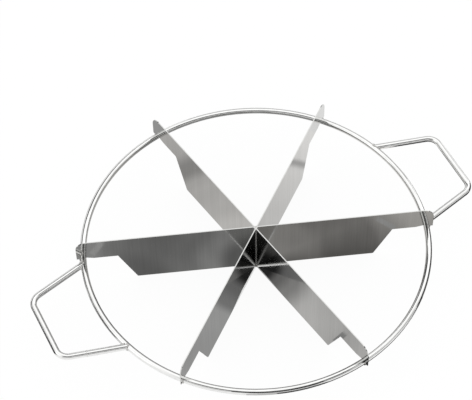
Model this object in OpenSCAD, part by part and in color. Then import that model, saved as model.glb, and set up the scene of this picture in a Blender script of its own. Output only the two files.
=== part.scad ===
// Cake portion marker for six slices: three folded blade sheets in a wire ring with two handles.
// It stands on the lower edges of its blades, and the handles lie along X.

/* [Ring] */
// Diameter of the ring, to the middle of its wire
ring_d = 280; // [240:5:320]
// Thickness of the ring's wire
ring_wire_d = 5; // [4:0.5:7]
// Height of the middle of the ring's wire above the lower edges of the blades
ring_z = 30.5; // [26:0.5:36]

/* [Handles] */
// Thickness of the handles' wire
handle_wire_d = 5; // [4:0.5:7]
// Distance from the middle of the ring's wire out to the middle of the grip
handle_reach = 44.5; // [35:0.5:60]
// Angle by which the legs lean towards each other on their way out
leg_lean = 15; // [5:0.5:20]
// Radius of the bends, to the middle of the wire
bend_r = 10; // [6:0.5:14]
// Gap between a foot of a handle and the blade beside it, at the middle of the ring's wire
foot_gap = 0.8; // [0.3:0.1:6]
// Gap between a foot and the ring, which the weld fills
foot_weld_gap = 0.15; // [0.05:0.05:0.4]

/* [Blades] */
// Height of the blades
blade_h = 52; // [46:1:62]
// Thickness of the blade sheets
sheet_t = 0.8; // [0.5:0.1:1.5]
// Inside radius of the fold between the two blades of a sheet
fold_r = 1.5; // [0.8:0.1:3]
// Gap between neighbouring folds, which the weld fills
fold_gap = 0.3; // [0.2:0.1:1]
// Angle from the handles to the blade beside each of them
blade_turn = 20; // [16:1:26]

/* [Blade tips] */
// Length of the narrow tip, from the step to the middle of the ring's wire
tip_l = 28; // [22:1:40]
// How far the step runs in towards the middle on its way down
step_run = 14.5; // [5:0.5:30]
// Height of the tip's lower edge above the middle of the ring's wire
tip_rise = 0.6; // [0:0.1:1.2]
// Radius of the tip's upper corner
tip_corner_r = 9; // [3:0.5:12]
// Radius of the lower corner, where the step starts
step_corner_r = 1.5; // [0.5:0.5:4]
// Length of the bevel that leads the wire into its notch
bevel_l = 6; // [2:0.5:10]
// How far the bevel stops below the top of the notch
bevel_drop = 0.6; // [0.3:0.1:1.2]
// Width of the prong that hooks over the outside of the wire
prong_w = 2.6; // [1.5:0.1:5]
// Gap between the wire and its notch in a blade
notch_gap = 0.15; // [0.05:0.05:0.4]

/* [Hidden] */
$fn = 96;
ring_fn = 240;

steel_wire = [0.83, 0.83, 0.82];
steel_sheet = [0.62, 0.62, 0.60];

ring_r = ring_d / 2;

// Three sheets, each folded into two blades
pair_count = 3;
slice_a = 180 / pair_count;
back_a = slice_a * 1.5 - blade_turn;

// Each fold bends about an axis of its own, beside the middle of the ring
fold_outer_r = fold_r + sheet_t;
fold_axis_r = (fold_outer_r + fold_gap / 2) / sin(slice_a);
blade_start = fold_axis_r * cos(slice_a / 2);
blade_outer_y = fold_outer_r - fold_axis_r * sin(slice_a / 2);

// The side view of a blade, as distances from the middle and heights
notch_r = ring_wire_d / 2 + notch_gap;
prong_end = ring_r + notch_r + prong_w;
tip_z = ring_z + tip_rise;
bevel_z = ring_z + notch_r - bevel_drop;
step_top_r = ring_r - tip_l;
step_foot_r = step_top_r - step_run;
step_a = atan2(tip_z, step_run);

// The feet of a handle stand on the ring, one of them close beside a blade
foot_y = blade_outer_y + foot_gap + handle_wire_d / 2;
foot_a = blade_turn - asin(foot_y / ring_r);
foot = [ring_r * cos(foot_a), ring_r * sin(foot_a)];
corner_x = ring_r + handle_reach;
corner_y = foot[1] - (corner_x - foot[0]) * tan(leg_lean);
bend_a = 90 - leg_lean;
bend_run = bend_r * tan(bend_a / 2);
half_grip_l = corner_y - bend_run;
leg_l = (corner_x - foot[0]) / cos(leg_lean) - bend_run;

// Number of straight steps along the small round where the step starts
step_corner_steps = 6;

// Pieces that meet face to face are joined at this fraction of their size
join_scale = 1 / 100;

// A ring of round wire, or the space that one needs
module wire_ring(wire_r) {
    translate([0, 0, ring_z])
        rotate_extrude($fn = ring_fn)
            translate([ring_r, 0])
                circle(r = wire_r);
}

module ring() {
    color(steel_wire)
        wire_ring(ring_wire_d / 2);
}

// Joins pieces that meet face to face. At their full size, what an angle is rounded by could part
// them, so they are joined small and then enlarged again.
module joined() {
    scale(1 / join_scale)
        for (i = [0 : $children - 1])
            scale(join_scale)
                children(i);
}

// Half of a handle's wire, seen from the middle of its grip: half of the grip, a bend and a leg
module half_handle() {
    translate([-bend_r, half_grip_l, 0])
        joined() {
            translate([bend_r, 0, 0])
                rotate([90, 0, 0])
                    cylinder(h = half_grip_l, d = handle_wire_d);
            rotate_extrude(angle = bend_a)
                translate([bend_r, 0])
                    circle(d = handle_wire_d);
            rotate([0, 0, bend_a])
                translate([bend_r, 0, 0])
                    rotate([-90, 0, 0])
                        cylinder(h = leg_l, d = handle_wire_d);
        }
}

// A bent wire whose feet are coped to the round of the ring
module handle() {
    difference() {
        translate([corner_x, 0, ring_z])
            joined() {
                half_handle();
                mirror([0, 1, 0])
                    half_handle();
            }
        wire_ring(ring_wire_d / 2 + foot_weld_gap);
    }
}

module handle_right() {
    color(steel_wire)
        handle();
}

module handle_left() {
    color(steel_wire)
        rotate([0, 0, 180])
            handle();
}

// Points along an arc, from one angle to another
function arc(centre, r, from_a, to_a, steps) = [
    for (i = [0 : steps])
        let (a = from_a + (to_a - from_a) * i / steps)
            centre + r * [cos(a), sin(a)]
];

// A blade from the side, by distance from the middle of the ring and by height
module blade_side_view() {
    round_x = step_foot_r - step_corner_r * tan(step_a / 2);
    corner_x = prong_end - tip_corner_r;
    corner_z = blade_h - tip_corner_r;
    difference() {
        union() {
            polygon(concat(
                [[blade_start, 0]],
                arc([round_x, step_corner_r], step_corner_r, -90, step_a - 90, step_corner_steps),
                [
                    [step_top_r, tip_z],
                    [ring_r - notch_r - bevel_l, tip_z],
                    [ring_r - notch_r, bevel_z],
                    [ring_r, bevel_z],
                    [ring_r, tip_z],
                    [prong_end, tip_z],
                    [prong_end, corner_z],
                    [corner_x, corner_z],
                    [corner_x, blade_h],
                    [blade_start, blade_h]
                ]
            ));
            translate([corner_x, corner_z])
                circle(r = tip_corner_r);
        }
        translate([ring_r, ring_z])
            circle(r = notch_r);
    }
}

// Half of a folded sheet, seen from the axis of its fold: half of the fold, and a blade along X
module half_pair() {
    joined() {
        rotate([0, 0, 90])
            rotate_extrude(angle = 90 - slice_a / 2)
                translate([fold_r, 0])
                    square([sheet_t, blade_h]);
        translate([0, fold_outer_r, 0])
            rotate([90, 0, 0])
                linear_extrude(height = sheet_t)
                    translate([-blade_start, 0])
                        blade_side_view();
    }
}

// A sheet folded between its two blades, which open towards the given angle
module blade_pair(open_a) {
    color(steel_sheet)
        rotate([0, 0, open_a])
            translate([fold_axis_r, 0, 0])
                joined() {
                    rotate([0, 0, slice_a / 2])
                        half_pair();
                    mirror([0, 1, 0])
                        rotate([0, 0, slice_a / 2])
                            half_pair();
                }
}

module blade_pair_back() {
    blade_pair(back_a);
}

module blade_pair_left() {
    blade_pair(back_a + 2 * slice_a);
}

module blade_pair_right() {
    blade_pair(back_a - 2 * slice_a);
}

ring();
handle_right();
handle_left();
blade_pair_back();
blade_pair_left();
blade_pair_right();
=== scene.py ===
import math

import bpy
from mathutils import Matrix, Vector


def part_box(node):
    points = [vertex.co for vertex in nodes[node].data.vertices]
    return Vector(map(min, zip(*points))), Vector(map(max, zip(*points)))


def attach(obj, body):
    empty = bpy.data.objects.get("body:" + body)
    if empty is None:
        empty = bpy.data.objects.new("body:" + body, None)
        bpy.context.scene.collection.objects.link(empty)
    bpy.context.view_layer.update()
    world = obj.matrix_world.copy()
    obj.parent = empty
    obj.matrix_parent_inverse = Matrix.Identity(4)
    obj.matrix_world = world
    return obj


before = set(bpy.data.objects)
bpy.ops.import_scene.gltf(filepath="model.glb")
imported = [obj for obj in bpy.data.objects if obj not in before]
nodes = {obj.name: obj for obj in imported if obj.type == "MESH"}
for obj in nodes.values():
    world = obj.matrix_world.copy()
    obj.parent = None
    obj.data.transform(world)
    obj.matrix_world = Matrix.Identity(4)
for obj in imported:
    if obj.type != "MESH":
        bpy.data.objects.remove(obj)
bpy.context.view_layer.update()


# small helpers

def deselectAll():
    bpy.ops.object.select_all(action="DESELECT")


def onCircle(radius, degrees, height=0.0):
    angle = math.radians(degrees)
    return Vector((radius * math.cos(angle), radius * math.sin(angle), height))


def newMaterial(name):
    material = bpy.data.materials.new(name)
    material.use_nodes = True
    material.node_tree.nodes.clear()
    return material, material.node_tree


def giveMaterial(obj, material):
    if obj.material_slots:
        for slot in obj.material_slots:
            slot.material = material
    else:
        obj.data.materials.append(material)


def addNode(tree, kind, **settings):
    node = tree.nodes.new(kind)
    for key, value in settings.items():
        if key in node.inputs:
            node.inputs[key].default_value = value
        else:
            setattr(node, key, value)
    return node


def mapRange(tree, value, fromLow, fromHigh, toLow, toHigh):
    node = addNode(tree, "ShaderNodeMapRange")
    levels = {"From Min": fromLow, "From Max": fromHigh, "To Min": toLow, "To Max": toHigh}
    for key, level in levels.items():
        node.inputs[key].default_value = level
    tree.links.new(value, node.inputs["Value"])
    return node.outputs["Result"]


def multiply(tree, first, second):
    product = addNode(tree, "ShaderNodeMath", operation="MULTIPLY")
    tree.links.new(first, product.inputs[0])
    tree.links.new(second, product.inputs[1])
    return product.outputs[0]


def mixShaders(tree, share, first, second):
    mix = addNode(tree, "ShaderNodeMixShader")
    tree.links.new(share, mix.inputs[0])
    tree.links.new(first.outputs[0], mix.inputs[1])
    tree.links.new(second.outputs[0], mix.inputs[2])
    return mix


def showSurface(tree, shader, outputKind="ShaderNodeOutputMaterial"):
    out = addNode(tree, outputKind)
    tree.links.new(shader.outputs[0], out.inputs["Surface"])


# camera

camera = {
    "target": (0.00491, 0.04640, 0.0305),
    "distance": 1.4266,
    "azimuth": -25.07,
    "elevation": 52.878,
    "roll": -1.371,
    "focalPixels": 1725.5,
    "pictureWidth": 472,
    "sensor": 36,
    "clipNear": 0.01,
    "clipFar": 20,
}


def makeCamera(c):
    azimuth, elevation, roll = (math.radians(c[key]) for key in ("azimuth", "elevation", "roll"))
    back = Vector((
        math.sin(azimuth) * math.cos(elevation),
        -math.cos(azimuth) * math.cos(elevation),
        math.sin(elevation),
    ))
    right = Vector((math.cos(azimuth), math.sin(azimuth), 0))
    up = back.cross(right)
    rolledRight = right * math.cos(roll) + up * math.sin(roll)
    rolledUp = up * math.cos(roll) - right * math.sin(roll)
    data = bpy.data.cameras.new("camera")
    data.sensor_width = c["sensor"]
    data.lens = c["focalPixels"] / c["pictureWidth"] * c["sensor"]
    data.clip_start = c["clipNear"]
    data.clip_end = c["clipFar"]
    obj = bpy.data.objects.new("camera", data)
    bpy.context.scene.collection.objects.link(obj)
    turn = Matrix((rolledRight, rolledUp, back)).transposed().to_4x4()
    obj.matrix_world = Matrix.Translation(Vector(c["target"]) + back * c["distance"]) @ turn
    bpy.context.scene.camera = obj


makeCamera(camera)
print("camera done")


# studio: a white floor and dome, soft lamps, and cards and flags that only the polished steel mirrors

white = (1, 1, 1, 1)
studio = {
    "floorSize": 12,
    "floorDrop": 0.0002,
    "floorColour": (0.96, 0.96, 0.96, 1),
    "shadowShare": 0.06,  # how much of the shadow shows on the white floor
    "domeLight": 1.0,
}


# 1 for what the camera, a reflection or a clear surface shows, else 0
def shownDirectly(tree):
    path = addNode(tree, "ShaderNodeLightPath")
    shown = path.outputs["Is Camera Ray"]
    for rayKind in ("Is Glossy Ray", "Is Transmission Ray"):
        either = addNode(tree, "ShaderNodeMath", operation="MAXIMUM")
        tree.links.new(shown, either.inputs[0])
        tree.links.new(path.outputs[rayKind], either.inputs[1])
        shown = either.outputs[0]
    return shown


def makeFloor(s):
    deselectAll()
    bpy.ops.mesh.primitive_plane_add(size=s["floorSize"], location=(0, 0, -s["floorDrop"]))
    floor = bpy.context.object
    floor.name = "floor"
    material, tree = newMaterial("paleFloor")
    shaded = addNode(tree, "ShaderNodeBsdfDiffuse", Color=s["floorColour"])
    plain = addNode(tree, "ShaderNodeEmission", Color=white, Strength=1.0)
    share = mapRange(tree, shownDirectly(tree), 0, 1, 0, 1 - s["shadowShare"])
    showSurface(tree, mixShaders(tree, share, shaded, plain))
    giveMaterial(floor, material)


def makeWorld(s):
    world = bpy.data.worlds.new("studio")
    bpy.context.scene.world = world
    world.use_nodes = True
    tree = world.node_tree
    tree.nodes.clear()
    dome = addNode(tree, "ShaderNodeBackground", Color=white, Strength=s["domeLight"])
    plain = addNode(tree, "ShaderNodeBackground", Color=white, Strength=1.0)
    showSurface(tree, mixShaders(tree, shownDirectly(tree), dome, plain), "ShaderNodeOutputWorld")


makeFloor(studio)
makeWorld(studio)
print("floor and dome done")


# What the cards share: the steps of their round edges, the height of each kind over the floor, and the
# depths of reflection between which a fading card fades. Headings are in degrees, counterclockwise from +X.
cardSteps = 12
cardHeights = {"rim": 0.00005, "floor": 0.0001, "foot": 0.0002, "prong": 0.0002, "streak": 0.0003}
fadeDepths = (1, 3)


def glowMaterial(name, colour):
    material, tree = newMaterial(name)
    glow = addNode(tree, "ShaderNodeEmission", Color=(*colour, 1), Strength=1.0)
    showSurface(tree, glow)
    return material, tree, glow


def greyMaterial(name, grey):
    return glowMaterial(name, (grey, grey, grey))[0]


def addStageMesh(name, vertices, faces, material):
    mesh = bpy.data.meshes.new(name)
    mesh.from_pydata(vertices, [], faces)
    obj = bpy.data.objects.new(name, mesh)
    bpy.context.scene.collection.objects.link(obj)
    giveMaterial(obj, material)
    obj.visible_camera = False
    obj.visible_diffuse = False
    obj.visible_shadow = False


# painted shade: a level that goes from start to end over the reflections that led to the card, darker after
# more of them
def fadingLevel(tree, start, end):
    path = addNode(tree, "ShaderNodeLightPath")
    return mapRange(tree, path.outputs["Glossy Depth"], *fadeDepths, start, end)


# Each of these cards lies on the floor between two blades, or in half of that wedge, and glows with the
# painted light and shade of a floor that only the blades mirror, darkest near the middle in front. It has a
# tone at some distances from the middle of the ring, a warmth, and clouds of some strength. It may fall off
# from one heading to another, and may fade as painted shade from one reflection to the next, as in the
# narrow wedge in front, where the blades mirror each other.
cardLight = 1.28
clouds = {"scale": 28, "noiseLow": 0.3, "noiseHigh": 0.7}
paintedFloorReflections = {
    "left": {
        "from": 160, "to": 220, "reach": 0.165, "warmth": 0.0, "cloud": 0.15,
        "tones": ((0.02, 0.11), (0.036, 0.21), (0.06, 0.155), (0.088, 0.12), (0.105, 0.15), (0.124, 0.19),
                  (0.138, 0.26)),
    },
    "frontLeft": {
        "from": 220, "to": 250, "reach": 0.15, "warmth": 0.0, "cloud": 0.06, "fade": 0.08,
        "tones": ((0.017, 0.012), (0.029, 0.12), (0.046, 0.17), (0.056, 0.31), (0.1, 0.3), (0.125, 0.33)),
    },
    "frontRight": {
        "from": 250, "to": 280, "reach": 0.15, "warmth": 0.01, "cloud": 0.06, "fade": 0.08,
        "tones": ((0.014, 0.02), (0.024, 0.13), (0.037, 0.23), (0.057, 0.47), (0.088, 0.45), (0.104, 0.4),
                  (0.13, 0.44)),
    },
    "right": {
        "from": 280, "to": 340, "reach": 0.165, "warmth": 0.03, "cloud": 0.12,
        "fall": {"from": -40, "to": -22, "start": 1.2, "end": 0.75},
        "tones": ((0.022, 0.18), (0.045, 0.18), (0.064, 0.135), (0.1, 0.14), (0.112, 0.2), (0.14, 0.37)),
    },
    "backRight": {
        "from": 340, "to": 400, "reach": 0.15, "warmth": 0.01, "cloud": 0.03,
        "tones": ((0.04, 0.52), (0.09, 0.58), (0.105, 0.61), (0.1125, 0.36), (0.119, 0.67), (0.148, 0.7)),
    },
    "back": {
        "from": 40, "to": 100, "reach": 0.13, "warmth": 0.0, "cloud": 0.1,
        "tones": ((0.02, 0.35), (0.12, 0.15)),
    },
    "backLeft": {
        "from": 100, "to": 160, "reach": 0.165, "warmth": 0.02, "cloud": 0.05,
        "tones": ((0.045, 0.53), (0.065, 0.47), (0.09, 0.43), (0.1, 0.4), (0.113, 0.26), (0.12, 0.26),
                  (0.136, 0.41), (0.155, 0.45)),
    },
}


def toneByDistance(tree, place, c):
    distance = addNode(tree, "ShaderNodeVectorMath", operation="LENGTH")
    tree.links.new(place, distance.inputs[0])
    ramp = addNode(tree, "ShaderNodeValToRGB")
    ramp.color_ramp.interpolation = "EASE"
    stops = ramp.color_ramp.elements
    while len(stops) < len(c["tones"]):
        stops.new(0.5)
    for stop, (radius, tone) in zip(stops, c["tones"]):
        stop.position = radius / c["reach"]
        stop.color = (tone, tone, tone, 1)
    tree.links.new(mapRange(tree, distance.outputs["Value"], 0, c["reach"], 0, 1), ramp.inputs[0])
    return ramp.outputs["Color"]


def cloudLevel(tree, place, c):
    noise = addNode(tree, "ShaderNodeTexNoise", Scale=clouds["scale"], Detail=1.0)
    tree.links.new(place, noise.inputs["Vector"])
    darkest, lightest = cardLight * (1 - c["cloud"]), cardLight * (1 + c["cloud"])
    return mapRange(tree, noise.outputs["Fac"], clouds["noiseLow"], clouds["noiseHigh"], darkest, lightest)


def levelByHeading(tree, place, fall):
    parts = addNode(tree, "ShaderNodeSeparateXYZ")
    tree.links.new(place, parts.inputs[0])
    heading = addNode(tree, "ShaderNodeMath", operation="ARCTAN2")
    tree.links.new(parts.outputs["Y"], heading.inputs[0])
    tree.links.new(parts.outputs["X"], heading.inputs[1])
    first, last = math.radians(fall["from"]), math.radians(fall["to"])
    return mapRange(tree, heading.outputs[0], first, last, fall["start"], fall["end"])


# one card of painted floor light and shade, which only reflections show
def makePaintedFloorReflection(name, c):
    material, tree, glow = glowMaterial(name, (1, 1 - c["warmth"], 1 - 2 * c["warmth"]))
    place = addNode(tree, "ShaderNodeTexCoord").outputs["Object"]
    strength = multiply(tree, toneByDistance(tree, place, c), cloudLevel(tree, place, c))
    if "fall" in c:
        strength = multiply(tree, strength, levelByHeading(tree, place, c["fall"]))
    if "fade" in c:
        strength = multiply(tree, strength, fadingLevel(tree, 1, c["fade"]))
    tree.links.new(strength, glow.inputs["Strength"])
    turn = (c["to"] - c["from"]) / cardSteps
    height = cardHeights["floor"]
    rim = [onCircle(c["reach"], c["from"] + turn * i, height) for i in range(cardSteps + 1)]
    outline = [Vector((0, 0, height))] + rim
    addStageMesh(name, outline, [list(range(len(outline)))], material)


for cardName, card in paintedFloorReflections.items():
    makePaintedFloorReflection(cardName + "Card", card)

# the blades' sheet: its thickness, and how far its outer face lies from the radial line through the blade
sheet = {"thickness": 0.0008, "outerFace": 0.0008855}

# Painted reflections: bright lines that glow on the floor along the feet of the two front blades, which
# show as lines in the other blades and are seen in no other way. Each lies on one side of its blade,
# outside the fold or inside it, has a width near the middle and at the end of its run, and then tapers to
# nothing.
footLineStart = 0.002
paintedFootLines = {
    "frontLeft": {"heading": 220, "inward": 1, "face": "outside", "near": 0.0009, "far": 0.0012,
                  "run": 0.028, "end": 0.05, "grey": 1.0, "fade": 0.25},
    "frontRight": {"heading": 280, "inward": -1, "face": "outside", "near": 0.0007, "far": 0.0008,
                   "run": 0.019, "end": 0.04, "grey": 0.45, "fade": 0.3},
    "left": {"heading": 220, "inward": -1, "face": "inside", "near": 0.0006, "far": 0.0005,
             "run": 0.046, "end": 0.058, "grey": 0.5, "fade": 0.35},
    "right": {"heading": 280, "inward": 1, "face": "inside", "near": 0.0007, "far": 0.0006,
              "run": 0.046, "end": 0.058, "grey": 0.5, "fade": 0.35},
}
faceOffsets = {"outside": sheet["outerFace"], "inside": sheet["thickness"] - sheet["outerFace"]}


# one glowing line of painted reflection
def makePaintedFootLine(name, k):
    material, tree, glow = glowMaterial(name, (1, 1, 1))
    tree.links.new(fadingLevel(tree, k["grey"], k["grey"] * k["fade"]), glow.inputs["Strength"])
    out, side = onCircle(1, k["heading"]), onCircle(1, k["heading"] + 90) * k["inward"]
    face = side * faceOffsets[k["face"]] + Vector((0, 0, cardHeights["foot"]))
    near, far, end = (out * run + face for run in (footLineStart, k["run"], k["end"]))
    corners = [near, far, end, far + side * k["far"], near + side * k["near"]]
    addStageMesh(name, corners, [(0, 1, 2, 3, 4)], material)


for lineName, line in paintedFootLines.items():
    makePaintedFootLine(lineName + "FootLine", line)


# a band of cards round the object, whose two edges are given as radius and height along its run
def makeBand(name, band, edgesAt):
    vertices, faces = [], []
    for i in range(cardSteps + 1):
        heading = band["from"] + (band["to"] - band["from"]) * i / cardSteps
        vertices += [onCircle(radius, heading, height) for radius, height in edgesAt(i / cardSteps)]
        if i:
            faces.append((2 * i - 2, 2 * i, 2 * i + 1, 2 * i - 1))
    addStageMesh(name, vertices, faces, greyMaterial(name, band["grey"]))


def flatEdges(card, height):
    return lambda share: ((card["low"], height), (card["high"], height))


# flat cards further out, from one radius to another, which glow with painted light and shade that only the
# steel mirrors
paintedRimReflections = {
    "left": {"from": 165, "to": 186, "low": 0.15, "high": 0.195, "grey": 0.4},
    "leftGrip": {"from": 162, "to": 182, "low": 0.195, "high": 1.6, "grey": 0.03},
    "front": {"from": 251, "to": 271, "low": 0.15, "high": 0.26, "grey": 0.08},
    "frontFaint": {"from": 240, "to": 251, "low": 0.15, "high": 0.26, "grey": 0.6},
    "frontFar": {"from": 244, "to": 272, "low": 0.26, "high": 1.6, "grey": 0.45},
    "right": {"from": 317, "to": 364, "low": 0.165, "high": 1.6, "grey": 0.05},
    "rightSide": {"from": 338, "to": 373, "low": 0.15, "high": 0.205, "grey": 0.07},
    "rightGrip": {"from": 364, "to": 372, "low": 0.22, "high": 0.8, "grey": 0.1},
    "backRightTip": {"from": 373, "to": 400, "low": 0.15, "high": 0.165, "grey": 0.88},
    "backRight": {"from": 388, "to": 400, "low": 0.165, "high": 0.27, "grey": 0.5},
    "back": {"from": 40, "to": 162, "low": 0.15, "high": 0.27, "grey": 0.4},
}

# narrow cards of painted light and shade, which the prongs and the outer edge of the ring's wire mirror
paintedProngReflections = {
    "upperRight": {"from": 30, "to": 44, "low": 0.164, "high": 0.186, "grey": 0.95},
    "upperLeft": {"from": 98, "to": 114, "low": 0.164, "high": 0.182, "grey": 0.41},
    "lowerLeft": {"from": 220, "to": 232, "low": 0.1235, "high": 0.132, "grey": 0.02},
    "lowerRight": {"from": 266, "to": 278, "low": 0.1265, "high": 0.136, "grey": 0.02},
    "lowerRightStep": {"from": 269, "to": 276, "low": 0.096, "high": 0.101, "grey": 0.28},
    "frontLeftWire": {"from": 194, "to": 240, "low": 0.139, "high": 0.2, "grey": 0.97},
    "frontFaintWire": {"from": 240, "to": 252, "low": 0.138, "high": 0.15, "grey": 0.45},
    "frontWire": {"from": 252, "to": 271, "low": 0.137, "high": 0.158, "grey": 0.05},
    "frontRightWire": {"from": 271, "to": 320, "low": 0.1405, "high": 0.185, "grey": 0.03},
}

for cardName, card in paintedRimReflections.items():
    makeBand(cardName + "Rim", card, flatEdges(card, cardHeights["rim"]))
for cardName, card in paintedProngReflections.items():
    makeBand(cardName + "Prong", card, flatEdges(card, cardHeights["prong"]))

# narrow strips on the floor, from one radius and heading to another, which glow and show as painted light
# streaks, reflected near the tips of two blades
paintedStreaks = {
    "right": {"start": (0.112, 321.5), "end": (0.122, 329), "width": 0.005, "grey": 0.36},
    "left": {"start": (0.1365, 171), "end": (0.1305, 177), "width": 0.0055, "grey": 0.4},
}


def makePaintedStreak(name, k, height):
    start, end = onCircle(*k["start"], height), onCircle(*k["end"], height)
    across = (end - start).cross(Vector((0, 0, 1))).normalized() * (k["width"] / 2)
    corners = [start - across, end - across, end + across, start + across]
    addStageMesh(name, corners, [(0, 1, 2, 3)], greyMaterial(name, k["grey"]))


for streakName, streak in paintedStreaks.items():
    makePaintedStreak(streakName + "Streak", streak, cardHeights["streak"])

# upright flags round the object, which glow at their grey and only the steel mirrors, painting light and
# shade into its reflections: their lower and upper edge, and how far both come down along their run, in
# degrees over the floor as seen from the middle of the ring
flagDistance = 2.6
flags = {
    "front": {"from": 240, "to": 275, "low": 12, "high": 26, "drop": 0, "grey": 0.05},
    "frontRight": {"from": 275, "to": 340, "low": 16, "high": 34, "drop": 0, "grey": 0.3},
    "frontLeft": {"from": 206, "to": 240, "low": 12, "high": 30, "drop": 0, "grey": 0.5},
    "back": {"from": 75, "to": 168, "low": 34, "high": 53, "drop": 44, "grey": 0.03},
    "backLeft": {"from": 122, "to": 160, "low": 0, "high": 20, "drop": 0, "grey": 0.03},
    "backRight": {"from": 30, "to": 75, "low": 4, "high": 38, "drop": 0, "grey": 0.5},
    "right": {"from": -22, "to": 15, "low": 0, "high": 24, "drop": 0, "grey": 0.1},
    "lens": {"from": 198, "to": 300, "low": 42, "high": 68, "drop": 0, "grey": 0.1},
    "lensRight": {"from": 300, "to": 330, "low": 50, "high": 70, "drop": 0, "grey": 0.1},
}


def flagEdges(flag):
    def edgesAt(share):
        degrees = [max(0, flag[key] - flag["drop"] * share) for key in ("low", "high")]
        return [(flagDistance, flagDistance * math.tan(math.radians(angle))) for angle in degrees]
    return edgesAt


for flagName, flag in flags.items():
    makeBand(flagName + "Flag", flag, flagEdges(flag))

# a dark upright card close in front of the ring, which no camera ray sees and which the front of its wire
# mirrors along the middle: a painted dark line
frontCard = {"distance": 0.27, "from": 233, "to": 273, "low": 0.1, "high": 0.23, "grey": 0.05}


def uprightEdges(card):
    return lambda share: [(card["distance"], card[key]) for key in ("low", "high")]


makeBand("frontCard", frontCard, uprightEdges(frontCard))

# soft lamps, which face the middle of the ring
lamps = {
    "overhead": {"place": (0.3, 0.7, 2.2), "size": (2.5, 2.0), "power": 4},
    "leftSide": {"place": (-2.0, 0.3, 1.3), "size": (1.2, 1.6), "power": 2},
    "rightSide": {"place": (2.0, 0.6, 1.2), "size": (1.2, 1.6), "power": 2},
}


def addLamp(name, k):
    data = bpy.data.lights.new(name, "AREA")
    data.shape = "RECTANGLE"
    data.size, data.size_y = k["size"]
    data.energy = k["power"]
    obj = bpy.data.objects.new(name, data)
    bpy.context.scene.collection.objects.link(obj)
    obj.location = k["place"]
    obj.rotation_euler = Vector(k["place"]).to_track_quat("Z", "Y").to_euler()


for lampName, lamp in lamps.items():
    addLamp(lampName, lamp)
print("cards, flags and lamps done")


# steel finishes

sheetFinish = {
    "light": (0.66, 0.66, 0.648),
    "dark": (0.58, 0.58, 0.568),
    "streakScale": 900,
    "streakStretch": 0.012,
    "broadScale": 120,
    "broadShare": 0.4,
    "noiseLow": 0.35,
    "noiseHigh": 0.65,
    "roughnessLow": 0.05,
    "roughnessHigh": 0.13,
    "bump": 0.12,
    "bumpDepth": 0.00002,
    "bumpFadesFrom": 0.2,  # how much a face lies flat, from 0 to 1
    "bumpFadesTo": 0.6,
    "waveScale": 14,
    "waveDepth": 0.0006,
}

wireFinish = {
    "light": (0.86, 0.86, 0.85),
    "dark": (0.78, 0.78, 0.77),
    "scale": 260,
    "noiseLow": 0.3,
    "noiseHigh": 0.7,
    "roughnessLow": 0.02,
    "roughnessHigh": 0.06,
    "bump": 0.05,
    "bumpDepth": 0.00002,
}

weldFinish = {
    "light": (0.85, 0.84, 0.82),
    "dark": (0.50, 0.49, 0.47),
    "scale": 900,
    "noiseLow": 0.3,
    "noiseHigh": 0.7,
    "roughnessLow": 0.12,
    "roughnessHigh": 0.32,
    "bump": 0.3,
    "bumpDepth": 0.00003,
}


# a steel whose colour and roughness follow one pattern, from 0 to 1
def makeSteel(name, f, drawPattern):
    material, tree = newMaterial(name)
    pattern, normal = drawPattern(tree, f)
    colour = addNode(tree, "ShaderNodeMix", data_type="RGBA")
    colour.inputs[6].default_value = (*f["dark"], 1)  # a Mix node's two colours are sockets 6 and 7
    colour.inputs[7].default_value = (*f["light"], 1)
    tree.links.new(pattern, colour.inputs[0])
    rough = mapRange(tree, pattern, 0, 1, f["roughnessHigh"], f["roughnessLow"])
    steel = addNode(tree, "ShaderNodeBsdfPrincipled", Metallic=1.0)
    tree.links.new(colour.outputs[2], steel.inputs["Base Color"])
    tree.links.new(rough, steel.inputs["Roughness"])
    tree.links.new(normal, steel.inputs["Normal"])
    showSurface(tree, steel)
    return material


# fine upright brushing, which leaves the lying edges smooth, over a sheet that isn't quite flat
def brushed(tree, f):
    coords = addNode(tree, "ShaderNodeTexCoord")
    stretch = addNode(tree, "ShaderNodeMapping")
    stretch.inputs["Scale"].default_value = (1, 1, f["streakStretch"])
    tree.links.new(coords.outputs["Object"], stretch.inputs["Vector"])
    fine = addNode(tree, "ShaderNodeTexNoise", Scale=f["streakScale"], Detail=3.0, Roughness=0.6)
    broad = addNode(tree, "ShaderNodeTexNoise", Scale=f["broadScale"], Detail=2.0, Roughness=0.5)
    wave = addNode(tree, "ShaderNodeTexNoise", Scale=f["waveScale"], Detail=1.0)
    tree.links.new(stretch.outputs["Vector"], fine.inputs["Vector"])
    tree.links.new(stretch.outputs["Vector"], broad.inputs["Vector"])
    tree.links.new(coords.outputs["Object"], wave.inputs["Vector"])
    both = addNode(tree, "ShaderNodeMix", data_type="FLOAT")
    both.inputs[0].default_value = f["broadShare"]
    tree.links.new(fine.outputs["Fac"], both.inputs[2])  # a Mix node's two numbers are sockets 2 and 3
    tree.links.new(broad.outputs["Fac"], both.inputs[3])
    geometry = addNode(tree, "ShaderNodeNewGeometry")
    facing = addNode(tree, "ShaderNodeSeparateXYZ")
    tree.links.new(geometry.outputs["True Normal"], facing.inputs[0])
    lying = addNode(tree, "ShaderNodeMath", operation="ABSOLUTE")
    tree.links.new(facing.outputs["Z"], lying.inputs[0])
    bumpLevel = mapRange(tree, lying.outputs[0], f["bumpFadesFrom"], f["bumpFadesTo"], f["bump"], 0)
    waveBump = addNode(tree, "ShaderNodeBump", Strength=1.0, Distance=f["waveDepth"])
    tree.links.new(wave.outputs["Fac"], waveBump.inputs["Height"])
    bump = addNode(tree, "ShaderNodeBump", Distance=f["bumpDepth"])
    tree.links.new(bumpLevel, bump.inputs["Strength"])
    tree.links.new(fine.outputs["Fac"], bump.inputs["Height"])
    tree.links.new(waveBump.outputs["Normal"], bump.inputs["Normal"])
    pattern = mapRange(tree, both.outputs[0], f["noiseLow"], f["noiseHigh"], 0, 1)
    return pattern, bump.outputs["Normal"]


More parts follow.
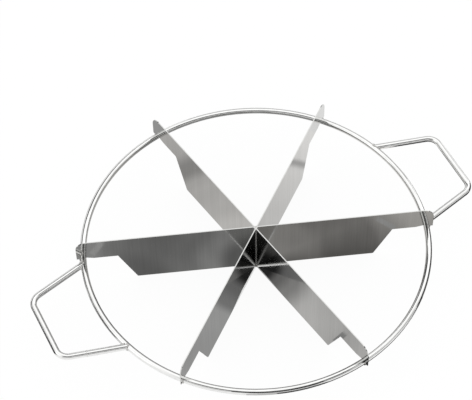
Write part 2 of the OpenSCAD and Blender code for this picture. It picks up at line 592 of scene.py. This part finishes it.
# the faint unevenness of drawn and polished wire, or of a bead that has set
def mottled(tree, f):
    coords = addNode(tree, "ShaderNodeTexCoord")
    noise = addNode(tree, "ShaderNodeTexNoise", Scale=f["scale"], Detail=3.0, Roughness=0.6)
    tree.links.new(coords.outputs["Object"], noise.inputs["Vector"])
    bump = addNode(tree, "ShaderNodeBump", Strength=f["bump"], Distance=f["bumpDepth"])
    tree.links.new(noise.outputs["Fac"], bump.inputs["Height"])
    pattern = mapRange(tree, noise.outputs["Fac"], f["noiseLow"], f["noiseHigh"], 0, 1)
    return pattern, bump.outputs["Normal"]


sheetSteel = makeSteel("brushedSheet", sheetFinish, brushed)
wireSteel = makeSteel("polishedWire", wireFinish, mottled)
weldSteel = makeSteel("weldSteel", weldFinish, mottled)
for nodeName in ("ring", "handle_right", "handle_left"):
    giveMaterial(nodes[nodeName], wireSteel)
for nodeName in ("blade_pair_back", "blade_pair_left", "blade_pair_right"):
    giveMaterial(nodes[nodeName], sheetSteel)
print("steel finishes done")


# welds: drops laid along a path, which flow together into one bead

def finishPiece(piece, name, material):
    piece.name = name
    deselectAll()
    piece.select_set(True)
    bpy.context.view_layer.objects.active = piece
    bpy.ops.object.transform_apply(location=True, rotation=True, scale=True)
    giveMaterial(piece, material)
    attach(piece, "root")


def layWeld(name, drops, w):
    deselectAll()
    beads = []
    for place, radius in drops:
        bpy.ops.mesh.primitive_ico_sphere_add(subdivisions=2, radius=radius, location=place)
        beads.append(bpy.context.object)
    for bead in beads:
        bead.select_set(True)
    bpy.ops.object.join()
    weld = bpy.context.object
    flow = weld.modifiers.new("flow", "REMESH")
    flow.mode = "VOXEL"
    flow.voxel_size = w["voxel"]
    bpy.ops.object.modifier_apply(modifier="flow")
    soften = weld.modifiers.new("soften", "SMOOTH")
    soften.iterations = w["softening"]
    bpy.ops.object.modifier_apply(modifier="soften")
    bpy.ops.object.shade_smooth()
    finishPiece(weld, name, weldSteel)
    return weld


# the same piece, turned about the middle of the ring
def turnedCopy(piece, name, degrees):
    copy = piece.copy()
    copy.data = piece.data.copy()
    bpy.context.scene.collection.objects.link(copy)
    copy.parent = None
    copy.rotation_euler = (0, 0, math.radians(degrees))
    finishPiece(copy, name, copy.data.materials[0])


# the upright beads in the grooves between the folds, which run into a pool at the top and end in a drop:
# the front one, and by how many degrees the other two are turned from it
coreWeld = {
    "azimuth": 250,
    "fromMiddle": 0.0021,
    "bottom": 0.0008,
    "top": 0.0512,
    "dropRadius": 0.00046,
    "ripple": 0.12,
    "dropStep": 0.0006,
    "poolDrops": 4,
    "poolRadius": 0.0009,
    "poolHeight": 0.051,
    "endRadius": 0.0008,
    "endOut": 0.0003,
    "endLift": 0.0001,
    "voxel": 0.00013,
    "softening": 3,
    "turns": {"core_weld_right": 120, "core_weld_left": -120},
}


def makeCoreWelds(w):
    count = int((w["top"] - w["bottom"]) / w["dropStep"])
    drops = []
    for i in range(count + 1):
        height = w["bottom"] + (w["top"] - w["bottom"]) * i / count
        radius = w["dropRadius"] * (1 + w["ripple"] * (i % 2))
        drops.append((onCircle(w["fromMiddle"], w["azimuth"], height), radius))
    for i in range(w["poolDrops"]):
        reach = w["fromMiddle"] * i / w["poolDrops"]
        drops.append((onCircle(reach, w["azimuth"], w["poolHeight"]), w["poolRadius"]))
    end = onCircle(w["fromMiddle"] + w["endOut"], w["azimuth"], w["endRadius"] + w["endLift"])
    drops.append((end, w["endRadius"]))
    front = layWeld("core_weld_front", drops, w)
    for name, degrees in w["turns"].items():
        turnedCopy(front, name, degrees)


makeCoreWelds(coreWeld)

# the ring's wire, as the frame gives it
ringLow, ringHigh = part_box("ring")
wireRadius = (ringHigh[2] - ringLow[2]) / 2
wire = {
    "radius": wireRadius,
    "height": (ringHigh[2] + ringLow[2]) / 2,
    "ringRadius": ringHigh[0] - wireRadius,
}

# the blades, counterclockwise from the right one, whose azimuth is given: their sheets lie on one side of
# the radial line and on the other by turns
firstBlade = -20
betweenBlades = 60
bladeNames = ("right", "upper_right", "upper_left", "left", "lower_left", "lower_right")

# a tack under each blade's prong, between its end and the outside of the ring's wire: from one angle round
# the wire to another
tackWeld = {
    "sheetMiddle": sheet["outerFace"] - sheet["thickness"] / 2,
    "spread": 0.00045,
    "from": 16,
    "to": -46,
    "count": 5,
    "proud": 0.0003,
    "dropRadius": 0.00062,
    "edgeTaper": 0.12,
    "ripple": 0.08,
    "voxel": 0.00013,
    "softening": 4,
}


def makeTack(name, w, azimuth, side):
    outward = onCircle(1, azimuth)
    sideways = onCircle(1, azimuth + 90) * side
    reach = wire["radius"] + w["proud"]
    drops = []
    for i in range(w["count"]):
        angle = math.radians(w["from"] + (w["to"] - w["from"]) * i / (w["count"] - 1))
        base = outward * (wire["ringRadius"] + reach * math.cos(angle))
        base.z = wire["height"] + reach * math.sin(angle)
        for across in (-1, 0, 1):
            place = base + sideways * (w["sheetMiddle"] + across * w["spread"])
            radius = w["dropRadius"] * (1 - w["edgeTaper"] * abs(across) - w["ripple"] * (i % 2))
            drops.append((place, radius))
    layWeld(name, drops, w)


for i, bladeName in enumerate(bladeNames):
    sheetSide = 1 if i % 2 == 0 else -1
    makeTack("tack_weld_" + bladeName, tackWeld, firstBlade + betweenBlades * i, sheetSide)

# where a handle's leg meets the ring, and how far it leans from the handle's middle line, in degrees
handleLeg = {"footAngle": 18.2868, "lean": 15}


# the foot of the first leg, the way along that leg and the way across it
def legLines(leg):
    foot = onCircle(wire["ringRadius"], leg["footAngle"])
    return foot, onCircle(1, -leg["lean"]), onCircle(1, 90 - leg["lean"])


# a fillet round each foot of the handles, where it meets the ring
footWeld = {
    "count": 26,
    "proud": 0.0002,
    "dropRadius": 0.0006,
    "ripple": 0.15,
    "voxel": 0.00014,
    "softening": 3,
}


def makeFootWeld(name, w, mirrored, degrees):
    foot, along, across = legLines(handleLeg)
    turning = Matrix.Rotation(math.radians(degrees), 3, "Z")
    reach = wire["radius"] + w["proud"]
    drops = []
    for i in range(w["count"]):
        angle = 2 * math.pi * i / w["count"]
        side = foot + across * (reach * math.cos(angle))
        rise = reach * math.sin(angle)
        # at this height the ring's wire ends at that radius, and the leg's side meets it after that run
        lap = math.sqrt(max(0, wire["radius"] ** 2 - rise ** 2))
        surface = wire["ringRadius"] + lap + w["proud"]
        onLeg = side.dot(along)
        run = -onLeg + math.sqrt(onLeg ** 2 - side.length_squared + surface ** 2)
        place = side + along * run
        place.z = wire["height"] + rise
        if mirrored:
            place.y = -place.y
        radius = w["dropRadius"] * (1 + w["ripple"] * (i % 2))
        drops.append((turning @ place, radius))
    layWeld(name, drops, w)


for sideName, turn in (("right", 0), ("left", 180)):
    makeFootWeld("foot_weld_" + sideName + "_a", footWeld, False, turn)
    makeFootWeld("foot_weld_" + sideName + "_b", footWeld, True, turn)

# the seam where the left handle's wire is closed, on the leg across the ring from the first one
seamWeld = {
    "legRun": 0.0325,
    "count": 30,
    "proud": 0.00002,
    "dropRadius": 0.00024,
    "voxel": 0.0001,
    "softening": 2,
}


def makeSeam(w):
    foot, along, across = legLines(handleLeg)
    reach = wire["radius"] + w["proud"]
    middle = foot + along * w["legRun"]
    drops = []
    for i in range(w["count"]):
        angle = 2 * math.pi * i / w["count"]
        place = -(middle + across * (reach * math.cos(angle)))
        place.z = wire["height"] + reach * math.sin(angle)
        drops.append((place, w["dropRadius"]))
    layWeld("handle_seam", drops, w)


makeSeam(seamWeld)
print("welds done")

bpy.context.scene.view_settings.view_transform = "Standard"
